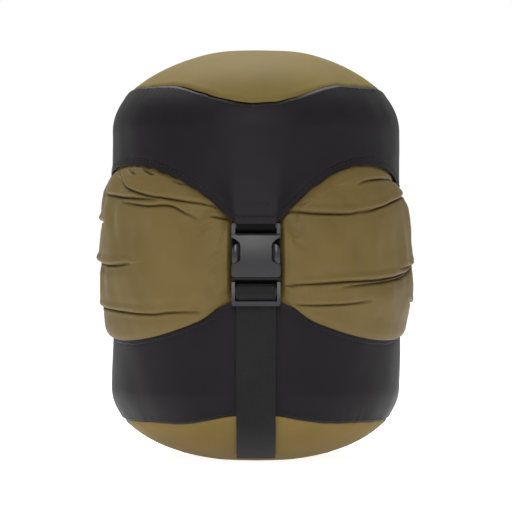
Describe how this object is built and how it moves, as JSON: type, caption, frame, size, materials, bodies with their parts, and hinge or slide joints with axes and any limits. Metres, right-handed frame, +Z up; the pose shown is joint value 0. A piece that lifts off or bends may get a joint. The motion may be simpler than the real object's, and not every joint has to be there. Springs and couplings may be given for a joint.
{
  "type": "compression sack",
  "caption": "Cylindrical stuff sack with a lid, a rounded base and side straps with release buckles that pull the lid down to squeeze the contents.",
  "frame": {"origin": "centre of the flat patch that the sack rests on", "axes": "+Z up along the sack's axis, -Y toward the front strap and buckle, +X to its right"},
  "size_m": [0.2044, 0.2082, 0.269],
  "materials": {
    "olive_cloth": "satin",
    "charcoal_cloth": "satin",
    "binding_tape": "matte",
    "webbing": "matte",
    "cord": "matte",
    "buckle_plastic": "satin",
    "spring_steel": "satin"
  },
  "bodies": {
    "base": {"base_panel": "olive_cloth", "base_seam_tape": "binding_tape", "lower_skirt": "charcoal_cloth", "lower_hem_binding": "binding_tape", "body_tube": "olive_cloth", "strap_run_front": "webbing", "strap_run_right": "webbing", "strap_run_left": "webbing"},
    "sack_top": {"sack_mouth": "olive_cloth", "drawcord": "cord", "cord_lock_barrel": "buckle_plastic", "cord_lock_spring": "spring_steel"},
    "cord_plunger": {"cord_lock_plunger": "buckle_plastic"},
    "lid": {"lid_panel": "olive_cloth", "lid_seam_tape": "binding_tape", "upper_skirt": "charcoal_cloth", "upper_hem_binding": "binding_tape", "buckle_tab_front": "webbing", "buckle_tab_right": "webbing", "buckle_tab_left": "webbing", "buckle_socket_front": "buckle_plastic", "buckle_socket_right": "buckle_plastic", "buckle_socket_left": "buckle_plastic"},
    "plug_front": {"buckle_plug_front": "buckle_plastic", "strap_tail_front": "webbing"},
    "plug_right": {"buckle_plug_right": "buckle_plastic", "strap_tail_right": "webbing"},
    "plug_left": {"buckle_plug_left": "buckle_plastic", "strap_tail_left": "webbing"},
    "prong_front_a": {"prong_front_a": "buckle_plastic"},
    "prong_front_b": {"prong_front_b": "buckle_plastic"},
    "prong_right_a": {"prong_right_a": "buckle_plastic"},
    "prong_right_b": {"prong_right_b": "buckle_plastic"},
    "prong_left_a": {"prong_left_a": "buckle_plastic"},
    "prong_left_b": {"prong_left_b": "buckle_plastic"}
  },
  "joints": [
    {"name": "compression", "type": "slide", "parent": "base", "child": "sack_top", "axis": [0, 0, 1], "range_m": [0, 0.153], "deforming": ["body_tube", "strap_run_front", "strap_run_right", "strap_run_left", "strap_tail_front", "strap_tail_right", "strap_tail_left"]},
    {"name": "lid_lift", "type": "slide", "parent": "sack_top", "child": "lid", "axis": [0, 0, 1], "range_m": [0, 0.11]},
    {"name": "cord_lock_press", "type": "slide", "parent": "sack_top", "child": "cord_plunger", "axis": [-1, 0, 0], "range_m": [0, 0.003], "deforming": ["cord_lock_spring"]},
    {"name": "buckle_front_release", "type": "slide", "parent": "sack_top", "child": "plug_front", "axis": [0, 0, -1], "range_m": [0, 0.024], "deforming": ["prong_front_a", "prong_front_b"]},
    {"name": "squeeze_front_a", "type": "hinge", "parent": "plug_front", "child": "prong_front_a", "pos_m": [-0.0093, -0.1016, 0.1224], "axis": [0, 1, 0], "range_deg": [0, 8], "stiffness_Nm_per_rad": 0.003},
    {"name": "squeeze_front_b", "type": "hinge", "parent": "plug_front", "child": "prong_front_b", "pos_m": [0.0093, -0.1016, 0.1224], "axis": [0, -1, 0], "range_deg": [0, 8], "stiffness_Nm_per_rad": 0.003},
    {"name": "buckle_right_release", "type": "slide", "parent": "sack_top", "child": "plug_right", "axis": [0, 0, -1], "range_m": [0, 0.024], "deforming": ["prong_right_a", "prong_right_b"]},
    {"name": "squeeze_right_a", "type": "hinge", "parent": "plug_right", "child": "prong_right_a", "pos_m": [0.09264, 0.04275, 0.1224], "axis": [-0.866, -0.5, 0], "range_deg": [0, 8], "stiffness_Nm_per_rad": 0.003},
    {"name": "squeeze_right_b", "type": "hinge", "parent": "plug_right", "child": "prong_right_b", "pos_m": [0.08334, 0.05885, 0.1224], "axis": [0.866, 0.5, 0], "range_deg": [0, 8], "stiffness_Nm_per_rad": 0.003},
    {"name": "buckle_left_release", "type": "slide", "parent": "sack_top", "child": "plug_left", "axis": [0, 0, -1], "range_m": [0, 0.024], "deforming": ["prong_left_a", "prong_left_b"]},
    {"name": "squeeze_left_a", "type": "hinge", "parent": "plug_left", "child": "prong_left_a", "pos_m": [-0.08334, 0.05885, 0.1224], "axis": [0.866, -0.5, 0], "range_deg": [0, 8], "stiffness_Nm_per_rad": 0.003},
    {"name": "squeeze_left_b", "type": "hinge", "parent": "plug_left", "child": "prong_left_b", "pos_m": [-0.09264, 0.04275, 0.1224], "axis": [-0.866, 0.5, 0], "range_deg": [0, 8], "stiffness_Nm_per_rad": 0.003}
  ],
  "couplings": [
    {"joint": "squeeze_front_b", "follows": "squeeze_front_a", "ratio": 1},
    {"joint": "squeeze_right_b", "follows": "squeeze_right_a", "ratio": 1},
    {"joint": "squeeze_left_b", "follows": "squeeze_left_a", "ratio": 1}
  ]
}
